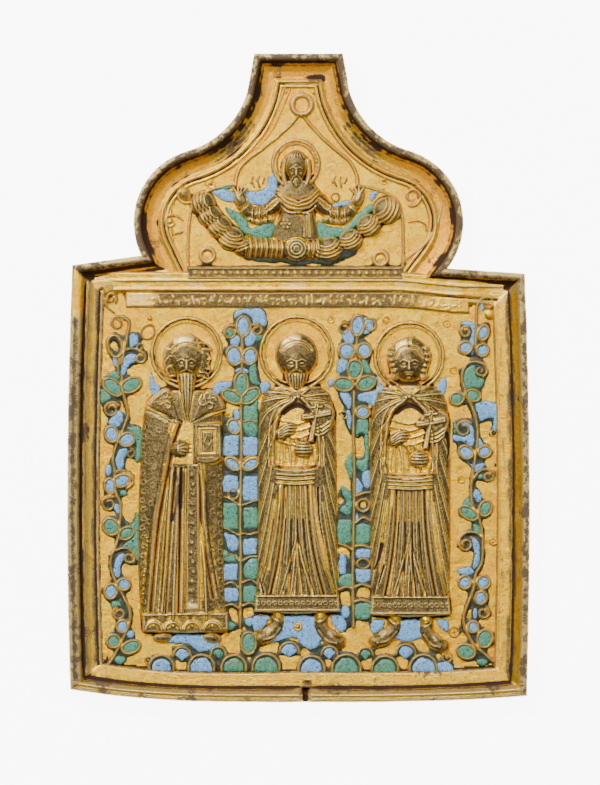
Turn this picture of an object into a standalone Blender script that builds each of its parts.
"""A cast brass travel icon with enamel fills, lying on its back.

Three saints stand under haloes between leafy stems. A vine runs down each side, a row of scalloped
ground lies under their feet, and an ogee crest holds a half figure in a garland of cloud. All sizes
are millimetres. +X is the icon's right, +Y its top and +Z points out of its front. The origin lies
on the back plane, at the middle of the outline.
"""

import math

import bmesh
import bpy
from mathutils import Matrix, Vector

MM = 0.001

LEFT = -1
RIGHT = 1

# Outer shape
OVERALL_HEIGHT = 100.3
BODY_WIDTH = 71.8
BODY_HEIGHT = 66.6
SIDE_BOW = 0.6
SHOULDER_SETBACK = 0.9
FOOT_LIFT = {LEFT: 2.0, RIGHT: 1.0}
SHOULDER_DROP = {LEFT: 0.0, RIGHT: 1.3}
SHOULDER_RISE = {LEFT: 1.5, RIGHT: 0.8}
CREST_TOP_WIDTH = 13.7
LOBE_RADIUS = 11.5
LOBE_OFFSET = 14.0
LOBE_LIFT = 6.6
NECK_RADIUS = 13.5
LOBE_END_DEG = 74.0
NECK_END_DEG = 196.0
FOOT_NOTCH_X = 1.3
FOOT_NOTCH_WIDTH = 1.1
FOOT_NOTCH_DEPTH = 1.3

# Section of the rim, from the outer edge in to the field
RIM_HEIGHT = 4.6
EDGE_ROUND = 0.35
RIM_WIDTH = 1.4
RIM_STEP = 0.35
COVE_WIDTH = 2.4
COVE_DROP = 1.45
COVE_STEPS = 3
FILLET_WIDTH = 0.55
FILLET_HEIGHT = 0.25
FIELD_HEIGHT = 2.3
BACK_LIP_WIDTH = 5.6
BACK_RECESS = 0.7
BACK_CHAMFER = 0.3

# How the relief is joined to the field, and how the enamel is fitted to its cells
SINK = 0.35
LINE_RADIUS = 0.34
ENAMEL_THICKNESS = 0.34
ENAMEL_BED = 0.05
ENAMEL_CLEARANCE = 0.10

# The bands above the saints
TITLE_HEIGHT = 2.3
TITLE_RELIEF = 0.5
TITLE_DROP = 2.8
TITLE_END_GAP = 3.7
STROKE_COUNT = 14
STROKE_WIDTH = 0.55
STROKE_RELIEF = 0.2
CORNICE_HEIGHT = 1.2
CORNICE_RELIEF = 0.3
BEAD_COUNT = 29
BEAD_RADIUS = 0.36
BEAD_ROW_WIDTH = 30.4
BEAD_ROW_RISE = 1.2

# The saints, drawn on a grid of DRAWN_WIDTH by DRAWN_HEIGHT with the halo, and brought to their panel
DRAWN_WIDTH = 12.2
DRAWN_HEIGHT = 50.0
HALO_GAP = 1.1
GROUND_BAND = 4.4
HALO_RADIUS = 5.3

# Leafy stems between the saints
STEM_PANEL_WIDTH = 5.3
STEM_TOP_GAP = 2.7
STEM_LEAF_LENGTH = 2.5
STEM_LEAF_WIDTH = 2.0
STEM_CELL_GAP = 0.9
BUD_DROP_SHARE = 0.185
CELL_DROP_SHARE = 0.32
CELL_PAIR_COUNT = 4

# Vines down the sides
VINE_PANEL_WIDTH = 6.9
VINE_TOP_GAP = 10.0
VINE_FOOT_GAP = 4.2
VINE_LEAF_LENGTH = 2.7
VINE_LEAF_WIDTH = 2.3
VINE_EDGE_GAP = 0.3
VINE_SWING = 1.0
CURL_RADIUS = 1.2

# Scalloped ground
SCALLOP_COUNT = 8
SCALLOP_RADIUS = 2.05
SCALLOP_STRETCH = 1.18
SCALLOP_ROW_WIDTH = 40.7
SCALLOP_ROW_SHIFT = -0.95
UPPER_SCALLOP_RADIUS = 1.45
UPPER_SCALLOP_RISE = 2.2

# The crest's carving, drawn for a group of DRAWN_CREST_HEIGHT and brought to the room in the crest
DRAWN_CREST_HEIGHT = 26.0
CREST_TOP_GAP = 6.7

BRASS = ("gilt_brass", (0.74, 0.50, 0.16, 1.0), 1.0, 0.35)
BLUE = ("blue_enamel", (0.17, 0.39, 0.68, 1.0), 0.0, 0.30)
GREEN = ("green_enamel", (0.05, 0.33, 0.24, 1.0), 0.0, 0.30)

# What follows from the sizes above
HALF_HEIGHT = OVERALL_HEIGHT / 2
HALF_WIDTH = BODY_WIDTH / 2
SHOULDER_Y = BODY_HEIGHT - HALF_HEIGHT + FOOT_LIFT[RIGHT]
BORDER = RIM_WIDTH + RIM_STEP + COVE_WIDTH + FILLET_WIDTH + 2 * EDGE_ROUND
FIELD_HALF_WIDTH = HALF_WIDTH - BORDER
FIELD_FOOT = BORDER - HALF_HEIGHT
FIELD_TOP = SHOULDER_Y - BORDER / 2
GROUND_Y = FIELD_FOOT + GROUND_BAND
TITLE_FOOT = FIELD_TOP - TITLE_DROP - TITLE_HEIGHT / 2
STEM_TOP = TITLE_FOOT - STEM_TOP_GAP
SAINT_SCALE = (TITLE_FOOT - HALO_GAP - GROUND_Y) / DRAWN_HEIGHT
PANELS_WIDTH = 2 * (VINE_PANEL_WIDTH + STEM_PANEL_WIDTH)
SAINT_WIDTH = (2 * FIELD_HALF_WIDTH - PANELS_WIDTH) / 3
SAINT_SPACING = SAINT_WIDTH + STEM_PANEL_WIDTH
SAINT_WIDENING = SAINT_WIDTH / DRAWN_WIDTH
CREST_SCALE = (HALF_HEIGHT - SHOULDER_Y - CREST_TOP_GAP) / DRAWN_CREST_HEIGHT
SCALLOP_TOP = FIELD_FOOT + LINE_RADIUS + SCALLOP_RADIUS * SCALLOP_STRETCH

parts = bpy.data.collections.new("travel_icon")
relief = bpy.data.collections.new("relief_shapes")
cutters = bpy.data.collections.new("cutters")


def clear_scene():
    for thing in list(bpy.data.objects):
        bpy.data.objects.remove(thing, do_unlink=True)
    bpy.context.scene.collection.children.link(parts)
    bpy.context.scene.collection.children.link(relief)
    bpy.context.scene.collection.children.link(cutters)


def material(kind):
    name, colour, metallic, roughness = kind
    made = bpy.data.materials.get(name)
    if made is None:
        made = bpy.data.materials.new(name)
        made.use_nodes = True
        shader = made.node_tree.nodes["Principled BSDF"]
        shader.inputs["Base Color"].default_value = colour
        shader.inputs["Metallic"].default_value = metallic
        shader.inputs["Roughness"].default_value = roughness
    return made


def keep(name, mesh, kind):
    """A finished piece of the icon."""
    mesh.materials.clear()
    mesh.materials.append(material(kind))
    made = bpy.data.objects.new(name, mesh)
    parts.objects.link(made)
    return made


def raise_from_field(name, mesh):
    """A shape that the plate's Boolean joins to the casting."""
    made = bpy.data.objects.new(name, mesh)
    made.display_type = "WIRE"
    made.hide_render = True
    relief.objects.link(made)
    return made


def mesh_from(bm, name):
    bmesh.ops.recalc_face_normals(bm, faces=bm.faces)
    mesh = bpy.data.meshes.new(name)
    bm.to_mesh(mesh)
    bm.free()
    return mesh


def mesh_of_curve(curve):
    """The closed mesh of a curve, in metres, with its caps welded on."""
    guide = bpy.data.objects.new(curve.name, curve)
    relief.objects.link(guide)
    bpy.context.view_layer.update()
    evaluated = guide.evaluated_get(bpy.context.evaluated_depsgraph_get())
    mesh = bpy.data.meshes.new_from_object(evaluated)
    bpy.data.objects.remove(guide, do_unlink=True)
    bm = bmesh.new()
    bm.from_mesh(mesh)
    bmesh.ops.remove_doubles(bm, verts=bm.verts, dist=0.00001)
    bmesh.ops.recalc_face_normals(bm, faces=bm.faces)
    bm.to_mesh(mesh)
    bm.free()
    return mesh


def poly_curve(name, points, closed, dimensions):
    curve = bpy.data.curves.new(name, "CURVE")
    curve.dimensions = dimensions
    spline = curve.splines.new("POLY")
    spline.points.add(len(points) - 1)
    for slot, point in zip(spline.points, points):
        slot.co = (*(value * MM for value in point), 1.0)
    spline.use_cyclic_u = closed
    return curve


def ridge(name, points, radius=LINE_RADIUS, lift=0.0, closed=False, bevel_resolution=0):
    """A raised line of round section along flat points, its middle at the field's surface plus lift."""
    line = [(x, y, FIELD_HEIGHT + lift) for x, y in points]
    curve = poly_curve(name, line, closed, "3D")
    curve.bevel_depth = radius * MM
    curve.bevel_resolution = bevel_resolution
    curve.use_fill_caps = not closed
    return raise_from_field(name, mesh_of_curve(curve))


def slab_mesh(name, outline, low, high):
    """A flat outline, extruded from low to high."""
    curve = poly_curve(name, [(x, y, 0.0) for x, y in outline], True, "2D")
    curve.fill_mode = "BOTH"
    curve.extrude = (high - low) / 2 * MM
    mesh = mesh_of_curve(curve)
    mesh.transform(Matrix.Translation((0, 0, (low + high) / 2 * MM)))
    return mesh


def slab(name, outline, rise):
    """A flat-topped raised shape that stands rise above the field."""
    return raise_from_field(
        name, slab_mesh(name, outline, FIELD_HEIGHT - SINK, FIELD_HEIGHT + rise)
    )


def dome(name, x, y, half_length, half_width, rise, turn=0.0, segments=8, rings=4):
    """A rounded swelling: the upper half of an ellipsoid, turned by degrees about +Z."""
    bm = bmesh.new()
    bmesh.ops.create_uvsphere(bm, u_segments=segments, v_segments=rings, radius=1.0)
    size = Matrix.Diagonal((half_length * MM, half_width * MM, rise * MM, 1.0))
    place = Matrix.Translation(Vector((x, y, FIELD_HEIGHT)) * MM)
    bm.transform(place @ Matrix.Rotation(math.radians(turn), 4, "Z") @ size)
    return raise_from_field(name, mesh_from(bm, name))


def loft_mesh(name, rings):
    """A closed skin over rings of points, with a cap on the first and the last."""
    bm = bmesh.new()
    rows = [[bm.verts.new(Vector(point) * MM) for point in ring] for ring in rings]
    for low, high in zip(rows, rows[1:]):
        for i in range(len(low)):
            j = (i + 1) % len(low)
            bm.faces.new((low[i], low[j], high[j], high[i]))
    bm.faces.new(list(reversed(rows[0])))
    bm.faces.new(rows[-1])
    return mesh_from(bm, name)


def arc(x, y, radius, start_deg, end_deg, steps):
    """Points along an arc, both ends included."""
    found = []
    for step in range(steps + 1):
        angle = math.radians(start_deg + (end_deg - start_deg) * step / steps)
        found.append((x + radius * math.cos(angle), y + radius * math.sin(angle)))
    return found


def oval(x, y, half_length, half_width, turn=0.0, count=8):
    """Points round an ellipse whose length lies at turn degrees from +X."""
    c, s = math.cos(math.radians(turn)), math.sin(math.radians(turn))
    found = []
    for step in range(count):
        angle = 2 * math.pi * step / count
        u = half_length * math.cos(angle)
        v = half_width * math.sin(angle)
        found.append((x + u * c - v * s, y + u * s + v * c))
    return found


def pointed(x, y, half_length, half_width, turn):
    """A six-cornered leaf shape, pointed at both ends of its length."""
    c, s = math.cos(math.radians(turn)), math.sin(math.radians(turn))
    found = []
    for u, v in ((1, 0), (0.4, 1), (-0.4, 1), (-1, 0), (-0.4, -1), (0.4, -1)):
        along, across = u * half_length, v * half_width
        found.append((x + along * c - across * s, y + along * s + across * c))
    return found


def box_outline(left, foot, right, top):
    return [(left, foot), (right, foot), (right, top), (left, top)]


def inset(outline, distance):
    """An anticlockwise outline moved inwards, with mitred corners."""
    found = []
    for i, here in enumerate(outline):
        before, after = Vector(outline[i - 1]), Vector(outline[(i + 1) % len(outline)])
        first = (Vector(here) - before).normalized()
        second = (after - Vector(here)).normalized()
        normals = Vector((-first.y, first.x)) + Vector((-second.y, second.x))
        reach = distance * 2 / normals.length_squared
        found.append(tuple(Vector(here) + normals * reach))
    return found


def crest_side(side):
    """One side of the crest, from the shoulder up to the flat top."""
    foot_y = SHOULDER_Y - SHOULDER_DROP[side] + SHOULDER_RISE[side]
    lobe_y = SHOULDER_Y + LOBE_LIFT
    start = math.degrees(math.asin((foot_y - lobe_y) / LOBE_RADIUS))
    lobe = arc(LOBE_OFFSET, lobe_y, LOBE_RADIUS, start, LOBE_END_DEG, 9)
    turn = math.radians(LOBE_END_DEG)
    neck_x = LOBE_OFFSET + (LOBE_RADIUS + NECK_RADIUS) * math.cos(turn)
    neck_y = lobe_y + (LOBE_RADIUS + NECK_RADIUS) * math.sin(turn)
    neck = arc(neck_x, neck_y, NECK_RADIUS, LOBE_END_DEG + 180, NECK_END_DEG, 6)
    return lobe + neck[1:] + [(CREST_TOP_WIDTH / 2, HALF_HEIGHT)]


def body_side(side):
    """One side of the body from the middle of the foot up to the shoulder's corner, for +X."""
    corner_x = HALF_WIDTH - SIDE_BOW
    lift = FOOT_LIFT[side]
    foot = [(corner_x * s, lift * s**3 - HALF_HEIGHT) for s in (0.4, 0.66, 0.84, 1.0)]
    low = foot[-1][1]
    top_x = HALF_WIDTH - SHOULDER_SETBACK
    top = SHOULDER_Y - SHOULDER_DROP[side]
    rise = []
    for share in (0.25, 0.5, 0.75, 1.0):
        bow = SIDE_BOW * 4 * share * (1 - share)
        x = corner_x + (top_x - corner_x) * share + bow
        rise.append((min(x, HALF_WIDTH), low + (top - low) * share))
    return foot + rise


def plate_outline():
    """The outer edge, anticlockwise from the middle of the foot."""
    right = body_side(RIGHT) + crest_side(RIGHT)
    left = body_side(LEFT) + crest_side(LEFT)
    return [(0.0, -HALF_HEIGHT)] + right + [(-x, y) for x, y in reversed(left)]


def make_plate():
    """The casting's blank: back lip and recess, edge, rim, cove, fillet and field."""
    outline = plate_outline()
    lip_end = BACK_LIP_WIDTH
    cove_start = RIM_WIDTH + RIM_STEP
    cove_top = RIM_HEIGHT - RIM_STEP
    section = [
        (lip_end + BACK_RECESS, BACK_RECESS),
        (lip_end, 0.0),
        (BACK_CHAMFER, 0.0),
        (0.0, BACK_CHAMFER),
        (0.0, RIM_HEIGHT - EDGE_ROUND),
        (EDGE_ROUND, RIM_HEIGHT),
        (RIM_WIDTH, RIM_HEIGHT),
    ]
    for step in range(COVE_STEPS + 1):
        turn = math.radians(90 * step / COVE_STEPS)
        depth = COVE_DROP * math.sin(turn)
        section.append((cove_start + COVE_WIDTH * (1 - math.cos(turn)), cove_top - depth))
    cove_end, cove_foot = section[-1]
    section += [
        (cove_end + EDGE_ROUND, cove_foot + FILLET_HEIGHT),
        (cove_end + EDGE_ROUND + FILLET_WIDTH, cove_foot + FILLET_HEIGHT),
        (cove_end + 2 * EDGE_ROUND + FILLET_WIDTH, FIELD_HEIGHT),
    ]
    rings = [[(x, y, z) for x, y in inset(outline, d)] for d, z in section]
    plate = keep("cast_plate", loft_mesh("cast_plate", rings), BRASS)
    notch = slab_mesh(
        "foot_notch",
        box_outline(
            FOOT_NOTCH_X - FOOT_NOTCH_WIDTH / 2,
            -HALF_HEIGHT - FOOT_NOTCH_DEPTH,
            FOOT_NOTCH_X + FOOT_NOTCH_WIDTH / 2,
            FOOT_NOTCH_DEPTH - HALF_HEIGHT,
        ),
        FIELD_HEIGHT,
        RIM_HEIGHT + SINK,
    )
    cutter = bpy.data.objects.new("foot_notch", notch)
    cutter.display_type = "WIRE"
    cutter.hide_render = True
    cutters.objects.link(cutter)
    cut = plate.modifiers.new("foot notch", "BOOLEAN")
    cut.operation = "DIFFERENCE"
    cut.object = cutter
    return plate


def leaf(place, number, x, y, length, width, turn, enamel):
    """A leaf's raised rim and, where its enamel has lasted, the fill inside it."""
    half_length, half_width = length / 2, width / 2
    ridge(f"{place}_leaf_{number:02d}", pointed(x, y, half_length, half_width, turn), closed=True)
    if enamel is None:
        return
    margin = LINE_RADIUS + ENAMEL_CLEARANCE
    fill = pointed(x, y, half_length - 1.4 * margin, half_width - margin, turn)
    fill_cell(f"{enamel[0]}_{place}_{number:02d}", fill, enamel)


def fill_cell(name, outline, enamel):
    """Enamel lying in a cell of the field."""
    low = FIELD_HEIGHT + ENAMEL_BED
    mesh = slab_mesh(name, outline, low, low + ENAMEL_THICKNESS)
    keep(name, mesh, enamel)


def make_bands():
    """The title strip with its strokes, the cornice bar and the row of beads."""
    half = FIELD_HALF_WIDTH - TITLE_END_GAP
    top = FIELD_TOP - TITLE_DROP + TITLE_HEIGHT / 2
    slab("title_strip", box_outline(-half, top - TITLE_HEIGHT, half, top), TITLE_RELIEF)
    margin = TITLE_HEIGHT / 5
    for number in range(STROKE_COUNT):
        x = half * (2 * (number + 0.5) / STROKE_COUNT - 1)
        lean = STROKE_WIDTH * ((number * 3) % 5 - 2) / 2
        low, high = top - TITLE_HEIGHT + margin, top - margin
        stroke = [
            (x - STROKE_WIDTH / 2 - lean, low),
            (x + STROKE_WIDTH / 2 - lean, low),
            (x + STROKE_WIDTH / 2 + lean, high),
            (x - STROKE_WIDTH / 2 + lean, high),
        ]
        slab(f"title_stroke_{number:02d}", stroke, TITLE_RELIEF + STROKE_RELIEF)
    bar = FIELD_HALF_WIDTH - CORNICE_HEIGHT
    slab(
        "cornice_bar",
        box_outline(-bar, FIELD_TOP - CORNICE_HEIGHT, bar, FIELD_TOP),
        CORNICE_RELIEF,
    )
    for number in range(BEAD_COUNT):
        x = BEAD_ROW_WIDTH * (number / (BEAD_COUNT - 1) - 0.5)
        y = FIELD_TOP + BEAD_ROW_RISE
        dome(f"bead_{number:02d}", x, y, BEAD_RADIUS, BEAD_RADIUS, BEAD_RADIUS * 1.3, 0, 6, 2)


def robe(name, x, y, k, w, stations, flutes, flute_depth):
    """A draped body: half-round rows from left to right edge, with hanging folds that deepen down."""
    columns = 2 * flutes
    rings = []
    for row, (up, left, right, rise) in enumerate(stations):
        middle, half = (left + right) / 2, (right - left) / 2
        fold = flute_depth * row / (len(stations) - 1)
        ring = []
        for column in range(columns + 1):
            turn = math.pi * column / columns
            wave = fold * math.cos(2 * math.pi * flutes * column / columns)
            height = rise * math.sin(turn) ** 0.5 * (1 + wave)
            across = x + w * (middle - half * math.cos(turn))
            ring.append((across, y + k * up, FIELD_HEIGHT + k * height))
        ring.append((x + w * (middle + half), y + k * up, FIELD_HEIGHT - SINK))
        ring.append((x + w * (middle - half), y + k * up, FIELD_HEIGHT - SINK))
        rings.append(ring)
    raise_from_field(name, loft_mesh(name, rings))


def halo(name, x, y, radius):
    ridge(name, oval(x, y, radius, radius, count=16), closed=True)


def make_bishop(x):
    """The bearded saint on the left, in a patterned cloak, with a book and a blessing hand."""
    k, w = SAINT_SCALE, SAINT_WIDENING
    y = GROUND_Y

    def at(across, up):
        return x + w * across, y + k * up

    halo("bishop_halo", *at(0.2, 44.7), min(k, w) * HALO_RADIUS)
    robe(
        "bishop_robe", x, y, k, w,
        [
            (38.8, -2.4, 2.2, 0.9),
            (36.4, -5.7, 5.0, 1.25),
            (31.0, -6.8, 5.6, 1.45),
            (20.0, -7.3, 5.7, 1.35),
            (10.0, -7.4, 5.7, 1.25),
            (2.0, -6.7, 5.7, 1.15),
        ],
        5, 0.16,
    )
    dome("bishop_hair", *at(-0.1, 44.6), k * 3.1, k * 3.3, k * 1.3)
    dome("bishop_face", *at(0.1, 43.6), k * 2.0, k * 2.5, k * 1.75)
    dome("bishop_beard", *at(-0.1, 38.0), k * 4.2, k * 1.45, k * 1.85, 91)
    for name, across, turn in (("left", -4.0, 25), ("right", 3.9, -25)):
        dome(f"bishop_shoulder_{name}", *at(across, 36.7), k * 2.3, k * 1.6, k * 1.7, turn)
    dome("bishop_hand", *at(-1.0, 29.8), k * 1.8, k * 1.4, k * 1.95)
    book = [at(*p) for p in box_outline(1.6, 28.1, 5.1, 34.1)]
    slab("bishop_book", book, k * 1.75)
    frame = [at(*p) for p in box_outline(2.3, 28.9, 4.4, 33.3)]
    ridge("bishop_book_frame", frame, k * 0.22, k * 1.75, True)
    cloak = [at(*p) for p in ((-2.6, 33.6), (-3.8, 29.5), (-4.9, 22.5), (-5.6, 14.5), (-6.3, 5.0))]
    ridge("bishop_cloak_edge", cloak, k * 0.4, k * 1.05)
    fall = [at(*p) for p in ((1.9, 27.6), (2.5, 16.0), (3.1, 10.5), (5.4, 4.5))]
    ridge("bishop_cloak_fall", fall, k * 0.4, k * 1.05)
    stole = [at(*p) for p in box_outline(-0.2, 6.5, 1.9, 27.5)]
    slab("bishop_stole", stole, k * 1.6)
    hem = [at(*p) for p in box_outline(-6.6, 1.8, 5.6, 4.4)]
    slab("bishop_hem", hem, k * 1.3)
    for name, across, turn in (("left", -3.8, 8), ("right", 4.0, -12)):
        dome(f"bishop_foot_{name}", *at(across, 1.0), k * 1.5, k * 0.75, k * 1.0, turn)


def make_martyr(name, x, bearded):
    """A saint in a clasped cloak over a girt tunic, with a cross in the upper hand."""
    k, w = SAINT_SCALE, SAINT_WIDENING
    y = GROUND_Y

    def at(across, up):
        return x + w * across, y + k * up

    halo(f"{name}_halo", *at(0.0, 44.4), min(k, w) * HALO_RADIUS)
    robe(
        f"{name}_robe", x, y, k, w,
        [
            (39.5, -2.6, 2.8, 0.95),
            (37.2, -5.6, 5.6, 1.3),
            (31.0, -6.2, 6.0, 1.6),
            (23.0, -6.3, 6.0, 1.5),
            (14.0, -6.4, 6.0, 1.4),
            (7.0, -6.4, 6.4, 1.3),
        ],
        6, 0.18,
    )
    dome(f"{name}_hair", *at(0.0, 44.8), k * 3.4, k * 3.4, k * 1.35)
    dome(f"{name}_face", *at(0.0, 43.0), k * 2.1, k * 2.6, k * 1.8)
    if bearded:
        dome(f"{name}_beard", *at(0.0, 40.6), k * 1.8, k * 1.5, k * 1.75)
    for side, points in (
        ("left", ((-0.2, 38.0), (-2.4, 35.8), (-3.4, 30.0), (-3.6, 22.0), (-6.2, 10.5))),
        ("right", ((0.2, 38.0), (2.5, 36.0), (3.3, 30.0), (3.2, 20.0), (6.2, 9.5))),
    ):
        ridge(f"{name}_cloak_{side}", [at(*p) for p in points], k * 0.4, k * 1.2)
    dome(f"{name}_clasp", *at(0.0, 38.0), k * 0.6, k * 0.6, k * 1.8, 0, 6, 4)
    dome(f"{name}_upper_hand", *at(-1.8, 33.0), k * 1.6, k * 1.2, k * 2.0, 40)
    dome(f"{name}_lower_hand", *at(1.0, 29.6), k * 1.6, k * 1.25, k * 2.0)
    post = [at(*p) for p in box_outline(1.7, 31.4, 2.6, 36.4)]
    slab(f"{name}_cross_post", post, k * 1.95)
    beam = [at(*p) for p in box_outline(0.5, 34.0, 3.9, 34.9)]
    slab(f"{name}_cross_beam", beam, k * 1.9)
    for number, up in enumerate((24.7, 27.4)):
        ridge(f"{name}_belt_{number}", [at(-3.3, up), at(2.7, up)], k * 0.35, k * 1.3)
    hem = [at(*p) for p in box_outline(-6.5, 4.7, 6.5, 7.7)]
    slab(f"{name}_hem", hem, k * 1.35)
    for side, across, turn in (("left", -3.9, 52), ("right", 4.4, -58)):
        dome(f"{name}_foot_{side}", *at(across, 2.8), k * 2.2, k * 0.95, k * 1.1, turn)


def make_stem(name, side, colours):
    """A leafy stem between two saints: two buds over pairs of leaves, then evenly spaced pairs."""
    x = side * SAINT_SPACING / 2
    top = STEM_TOP
    height = STEM_TOP - GROUND_Y
    bud = top - BUD_DROP_SHARE * height
    half_leaf = STEM_LEAF_LENGTH / 2
    reach = STEM_PANEL_WIDTH / 4 + LINE_RADIUS / 2
    ridge(f"{name}_upper_line", [(x, bud + half_leaf), (x, top - half_leaf)])
    ridge(f"{name}_lower_line", [(x, SCALLOP_TOP + LINE_RADIUS / 2), (x, bud - half_leaf)])
    cells = []
    for y in (top, bud):
        cells.append((x, y, STEM_LEAF_LENGTH, 90.0))
        for turn in (LEFT, RIGHT):
            low = y - STEM_LEAF_LENGTH - LINE_RADIUS
            cells.append((x + turn * reach, low, STEM_LEAF_LENGTH, 90 - turn * 55))
    first = top - CELL_DROP_SHARE * height
    pitch = (first - GROUND_Y) / CELL_PAIR_COUNT
    for pair in range(CELL_PAIR_COUNT):
        y = first - (pair + 0.5) * pitch
        for turn in (LEFT, RIGHT):
            cells.append((x + turn * reach, y, pitch - STEM_CELL_GAP, 90.0))
    for number, ((leaf_x, leaf_y, length, turn), enamel) in enumerate(zip(cells, colours)):
        leaf(name, number, leaf_x, leaf_y, length, STEM_LEAF_WIDTH, turn, enamel)


def curl(name, x, y, side):
    """A tendril that leaves the stem, turns over towards side and winds in."""
    points = []
    for step in range(7):
        turn = math.radians(-60 + 55 * step)
        radius = CURL_RADIUS * (1 - 0.1 * step)
        points.append((x - side * radius * math.cos(turn), y + radius * math.sin(turn)))
    ridge(name, points)


def make_vine(name, side, growth, colours):
    """An undulating vine down one side, with pairs of leaves and a curl between each two pairs."""
    x = side * (FIELD_HALF_WIDTH - VINE_PANEL_WIDTH / 2)
    reach = (VINE_PANEL_WIDTH - VINE_LEAF_LENGTH) / 2 - LINE_RADIUS - VINE_EDGE_GAP
    top, foot = FIELD_TOP - VINE_TOP_GAP, FIELD_FOOT + VINE_FOOT_GAP
    last = len(colours) // 2 - 1
    heights = []
    for number in range(last + 1):
        share = number / last
        heights.append(top - (top - foot) * (share * (1 - growth) + growth * share**2))
    stem = [(x, top)]
    for number, (high, low) in enumerate(zip(heights, heights[1:])):
        turn = RIGHT if number % 2 == 0 else LEFT
        middle = (high + low) / 2
        stem += [(x - turn * VINE_SWING, middle), (x, low)]
        curl(f"{name}_curl_{number}", x + turn * (CURL_RADIUS - VINE_SWING / 3), middle, turn)
    stem.append((x + side * VINE_SWING, FIELD_FOOT + LINE_RADIUS))
    ridge(f"{name}_line", stem)
    for number, enamel in enumerate(colours):
        turn = LEFT if number % 2 == 0 else RIGHT
        y = heights[number // 2]
        leaf(
            name, number, x + turn * reach, y,
            VINE_LEAF_LENGTH, VINE_LEAF_WIDTH, 90 - turn * 40, enamel,
        )


def make_ground(colours):
    """A row of scallops on the field's foot, with smaller ones behind some of the gaps."""
    gap = SCALLOP_ROW_WIDTH / (SCALLOP_COUNT - 1)
    first = SCALLOP_ROW_SHIFT - SCALLOP_ROW_WIDTH / 2
    base = FIELD_FOOT + LINE_RADIUS
    for number in range(SCALLOP_COUNT):
        x = first + gap * number
        hoop = []
        for px, py in arc(x, base, SCALLOP_RADIUS, 0, 180, 6):
            hoop.append((px, base + (py - base) * SCALLOP_STRETCH))
        ridge(f"scallop_{number}", hoop)
        enamel = colours[number]
        if enamel is None:
            continue
        margin = LINE_RADIUS + ENAMEL_CLEARANCE
        inner = arc(x, base + margin, SCALLOP_RADIUS - 1.7 * margin, 0, 180, 6)
        fill_cell(f"{enamel[0]}_scallop_{number:02d}", inner, enamel)
    for number in (0, 3, 5, 6):
        x = first + gap * (number + 0.5)
        y = base + UPPER_SCALLOP_RISE
        ridge(f"upper_scallop_{number}", arc(x, y, UPPER_SCALLOP_RADIUS, 20, 160, 4))


def make_crest():
    """The half figure in its garland, inside an ogee line, with a ring, bosses and curls."""
    k = CREST_SCALE
    y = SHOULDER_Y

    def at(across, up):
        return k * across, y + k * up

    for side in (LEFT, RIGHT):
        word = "left" if side == LEFT else "right"
        ogee = ((16.5, -0.6), (16.3, 7.5), (15.2, 10.0), (13.0, 11.6), (9.6, 12.6), (8.8, 15.2))
        ogee += ((6.6, 17.4), (3.6, 19.6), (1.6, 22.0), (0.35, 24.2))
        ridge(f"crest_ogee_{word}", [at(side * px, py) for px, py in ogee], k * 0.3)
        boss_x, boss_y = at(side * 13.3, 1.6)
        ridge(f"crest_boss_ring_{word}", oval(boss_x, boss_y, k * 1.1, k * 1.1), k * 0.28, 0, True)
        dome(f"crest_boss_{word}", boss_x, boss_y, k * 0.6, k * 0.6, k * 0.6, 0, 6, 4)
    ring_x, ring_y = at(0.4, 24.9)
    ridge("crest_ring", oval(ring_x, ring_y, k * 1.4, k * 1.4, count=10), k * 0.42, 0, True)

    halo("crest_halo", *at(-0.1, 15.8), k * 3.7)
    dome("crest_hair", *at(-0.3, 15.0), k * 2.3, k * 2.9, k * 1.3)
    dome("crest_face", *at(-0.3, 14.9), k * 1.45, k * 2.2, k * 1.75)
    dome("crest_beard", *at(-0.3, 12.4), k * 1.2, k * 1.1, k * 1.6, 0)
    torso = [at(*p) for p in ((-2.9, 4.0), (2.8, 4.0), (2.4, 8.6), (3.6, 11.2), (-3.6, 11.2), (-2.4, 8.6))]
    slab("crest_torso", torso, k * 1.0)
    dome("crest_mantle", *at(0.0, 9.8), k * 3.4, k * 1.7, k * 1.55)
    for side in (LEFT, RIGHT):
        word = "left" if side == LEFT else "right"
        dome(f"crest_sleeve_{word}", *at(side * 4.8, 8.4), k * 2.6, k * 1.3, k * 1.35, -side * 8)
        dome(f"crest_hand_{word}", *at(side * 8.6, 10.2), k * 2.1, k * 0.75, k * 1.1, 90 - side * 35)
    lumps = ((0.0, 2.5, 2.0), (3.2, 2.6, 1.6), (6.2, 2.8, 1.9))
    lumps += ((9.2, 4.4, 1.9), (11.8, 6.6, 2.0), (14.0, 9.2, 2.2))
    for number, (px, py, size) in enumerate(lumps):
        for side in ((LEFT, RIGHT) if number else (RIGHT,)):
            word = "left" if side == LEFT else "right"
            lump_x, lump_y = at(side * px, py)
            dome(f"cloud_{word}_{number}", lump_x, lump_y, k * size, k * size * 0.92, k * 1.75)


def join_relief(plate):
    join = plate.modifiers.new("relief", "BOOLEAN")
    join.operation = "UNION"
    join.operand_type = "COLLECTION"
    join.collection = relief


def main():
    clear_scene()
    plate = make_plate()
    make_bands()
    make_bishop(-SAINT_SPACING)
    make_martyr("elder_martyr", 0.0, True)
    make_martyr("young_martyr", SAINT_SPACING, False)
    b, g, lost = BLUE, GREEN, None
    make_stem("left_stem", LEFT, [b, b, b, g, g, g, b, g, b, b, g, g, b, b])
    make_stem("right_stem", RIGHT, [b, b, b, g, g, g, b, b, lost, b, g, g, lost, b])
    make_vine("left_vine", LEFT, 0.09, [lost, b, g, g, b, b, b, b, g, g, b, b, g, g])
    make_vine("right_vine", RIGHT, 0.24, [b, b, g, g, b, b, g, g, b, b, g, g])
    make_ground([b, b, g, g, b, g, g, b])
    make_crest()
    join_relief(plate)


main()
